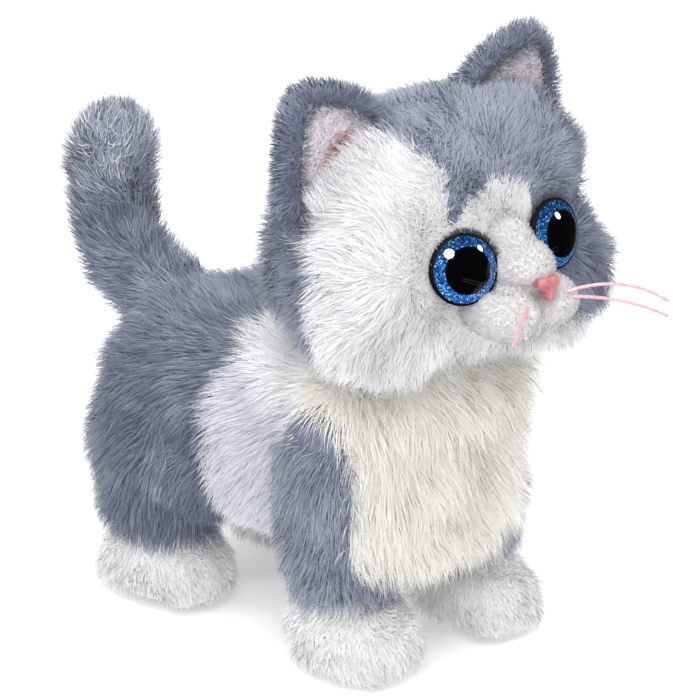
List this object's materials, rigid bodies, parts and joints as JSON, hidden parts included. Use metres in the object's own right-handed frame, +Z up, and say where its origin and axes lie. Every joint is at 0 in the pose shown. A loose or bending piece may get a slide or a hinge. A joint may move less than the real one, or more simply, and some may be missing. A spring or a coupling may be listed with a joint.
{
  "type": "walking plush pet",
  "caption": "Fur-covered plush kitten over a moulded battery and gear housing, with swinging legs, nodding head and wagging tail.",
  "frame": {"origin": "on the floor under the middle of the kitten's box", "axes": "+Z up, the kitten faces -Y, +X is its left side"},
  "size_m": [0.117, 0.2306, 0.1955],
  "materials": {
    "grey_fur": "blue-grey plush pile",
    "white_fur": "white plush pile",
    "casing": "moulded, matt",
    "gear_nylon": "moulded nylon",
    "steel": "bright steel",
    "brass": "turned brass",
    "cell_wrap": "printed sleeve, no lettering",
    "board": "solder mask",
    "black_plastic": "moulded, matt",
    "eye": "domed, glossy",
    "nose_satin": "satin stitch",
    "whisker_thread": "stiff monofilament",
    "tape": "hook-and-loop tape"
  },
  "bodies": {
    "chassis": {"housing_left": "casing", "housing_right": "casing", "housing_screws": "steel", "battery_tray": "casing", "battery_cells": "cell_wrap", "battery_contacts": "steel", "battery_door": "casing", "door_screw": "steel", "switch_body": "casing", "circuit_board": "board", "button_switch": "black_plastic", "speaker": "black_plastic", "motor_can": "steel", "gearbox_plate_left": "casing", "gearbox_plate_right": "casing", "gearbox_posts": "steel", "gear_axles": "steel", "crank_bushes": "gear_nylon", "leg_pivot_pins": "steel", "neck_bracket": "casing", "neck_pivot_pin": "steel", "tail_bracket": "casing", "tail_pivot_pin": "steel", "torso_plush": "grey_fur", "chest_bib": "white_fur", "belly_loop_tape": "tape"},
    "head": {"head_plush": "grey_fur", "head_shell_front": "casing", "head_shell_back": "casing", "muzzle_plush": "white_fur", "ear_left": "grey_fur", "ear_right": "grey_fur", "ear_linings": "white_fur", "eye_left": "eye", "eye_right": "eye", "eye_washers": "steel", "nose": "nose_satin", "whiskers": "whisker_thread"},
    "tail": {"tail_core": "casing", "tail_plush": "grey_fur"},
    "leg_front_right": {"leg_core_front_right": "casing", "leg_plush_front_right": "grey_fur"},
    "leg_front_left": {"leg_core_front_left": "casing", "leg_plush_front_left": "grey_fur"},
    "leg_rear_right": {"leg_core_rear_right": "casing", "leg_plush_rear_right": "grey_fur"},
    "leg_rear_left": {"leg_core_rear_left": "casing", "leg_plush_rear_left": "grey_fur"},
    "crank": {"crankshaft": "steel", "output_gear": "gear_nylon", "crank_discs": "gear_nylon"},
    "second_gear": {"gear_second": "gear_nylon"},
    "first_gear": {"gear_first": "gear_nylon"},
    "rotor": {"motor_pinion": "brass"},
    "button": {"back_button": "casing"},
    "power_switch": {"switch_knob": "black_plastic"},
    "flap": {"belly_flap": "white_fur", "belly_hook_tape": "tape"}
  },
  "joints": [
    {"name": "front_right_leg_swing", "type": "hinge", "parent": "chassis", "child": "leg_front_right", "pos_m": [-0.031, -0.03368, 0.058], "axis": [1, 0, 0], "range_deg": [-8, 8]},
    {"name": "front_left_leg_swing", "type": "hinge", "parent": "chassis", "child": "leg_front_left", "pos_m": [0.031, -0.03368, 0.058], "axis": [1, 0, 0], "range_deg": [-8, 8]},
    {"name": "rear_right_leg_swing", "type": "hinge", "parent": "chassis", "child": "leg_rear_right", "pos_m": [-0.034, 0.04432, 0.058], "axis": [1, 0, 0], "range_deg": [-8, 8]},
    {"name": "rear_left_leg_swing", "type": "hinge", "parent": "chassis", "child": "leg_rear_left", "pos_m": [0.034, 0.04432, 0.058], "axis": [1, 0, 0], "range_deg": [-8, 8]},
    {"name": "head_nod", "type": "hinge", "parent": "chassis", "child": "head", "pos_m": [0, -0.03968, 0.112], "axis": [1, 0, 0], "range_deg": [-4, 4]},
    {"name": "tail_wag", "type": "hinge", "parent": "chassis", "child": "tail", "pos_m": [0, 0.06432, 0.084], "axis": [0, 0, 1], "range_deg": [-12, 12]},
    {"name": "crank_spin", "type": "hinge", "parent": "chassis", "child": "crank", "pos_m": [0, 0.00432, 0.066], "axis": [1, 0, 0], "continuous": true},
    {"name": "second_gear_spin", "type": "hinge", "parent": "chassis", "child": "second_gear", "pos_m": [-0.012, 0.01898, 0.07134], "axis": [1, 0, 0], "continuous": true},
    {"name": "first_gear_spin", "type": "hinge", "parent": "chassis", "child": "first_gear", "pos_m": [-0.008, 0.03364, 0.066], "axis": [1, 0, 0], "continuous": true},
    {"name": "rotor_spin", "type": "hinge", "parent": "chassis", "child": "rotor", "pos_m": [-0.005, 0.04424, 0.07661], "axis": [1, 0, 0], "continuous": true},
    {"name": "back_button_press", "type": "slide", "parent": "chassis", "child": "button", "axis": [0, 0, -1], "range_m": [0, 0.0015], "stiffness_N_per_m": 400, "springref_m": -0.0005},
    {"name": "switch_slide", "type": "slide", "parent": "chassis", "child": "power_switch", "axis": [0, 1, 0], "range_m": [0, 0.003]},
    {"name": "belly_flap_hinge", "type": "hinge", "parent": "chassis", "child": "flap", "pos_m": [-0.0115, 0.00782, 0.025], "axis": [0, 1, 0], "range_deg": [0, 70]}
  ],
  "couplings": [
    {"joint": "front_left_leg_swing", "follows": "front_right_leg_swing", "ratio": -1},
    {"joint": "rear_left_leg_swing", "follows": "front_right_leg_swing", "ratio": 1},
    {"joint": "rear_right_leg_swing", "follows": "front_right_leg_swing", "ratio": -1},
    {"joint": "head_nod", "follows": "front_right_leg_swing", "ratio": 0.5},
    {"joint": "tail_wag", "follows": "front_right_leg_swing", "ratio": 1.5},
    {"joint": "second_gear_spin", "follows": "crank_spin", "ratio": -3.3333},
    {"joint": "first_gear_spin", "follows": "crank_spin", "ratio": 11.111},
    {"joint": "rotor_spin", "follows": "crank_spin", "ratio": -44.444}
  ]
}
